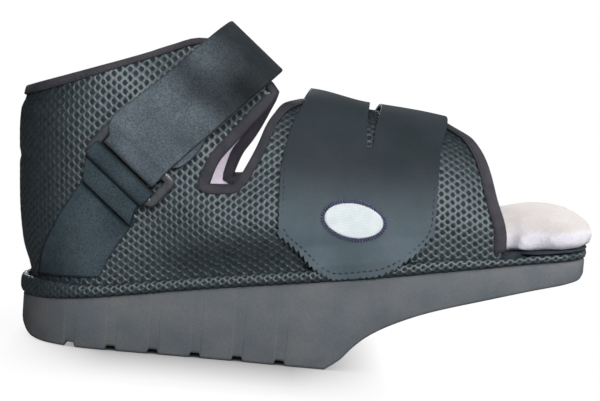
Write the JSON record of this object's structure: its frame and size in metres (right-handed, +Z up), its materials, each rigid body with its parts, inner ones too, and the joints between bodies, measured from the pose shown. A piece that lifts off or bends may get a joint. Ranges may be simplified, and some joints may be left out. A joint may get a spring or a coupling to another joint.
{
  "type": "forefoot offloading shoe",
  "caption": "Post-operative shoe with a wedge sole cut away under the forefoot, hollow mesh upper, open toe over a thick pad, ankle strap through a ring and broad forefoot strap.",
  "frame": {"origin": "under the middle of the whole shoe, on the floor that its tread stands on", "axes": "+X toward the toe, +Z up, -Y toward the side with the ring"},
  "size_m": [0.288, 0.1102, 0.1627],
  "materials": {
    "sole": "moulded grey foam rubber, matte",
    "mesh": "honeycomb knitted mesh, dark grey green",
    "board": "dark board with a matte edge",
    "pad": "pale fleece over a thick cushion",
    "lining": "pale lilac brushed cloth",
    "tape": "woven tape, brownish grey",
    "velour": "short pile velour, dark grey",
    "ring": "smooth grey moulded plastic",
    "strap": "smooth coated cloth, dark grey, matte",
    "label": "white woven patch, blank"
  },
  "bodies": {
    "root": {"outsole": "sole", "foxing_band": "mesh", "footbed_board": "board", "insole_pad": "pad", "mesh_upper": "mesh", "lining": "lining", "throat_binding": "tape", "toe_binding": "tape", "heel_panel_near": "velour", "heel_panel_far": "velour", "ring_tab": "velour", "strap_ring": "ring", "ankle_strap": "velour", "forefoot_strap": "strap", "oval_label": "label"}
  },
  "joints": []
}
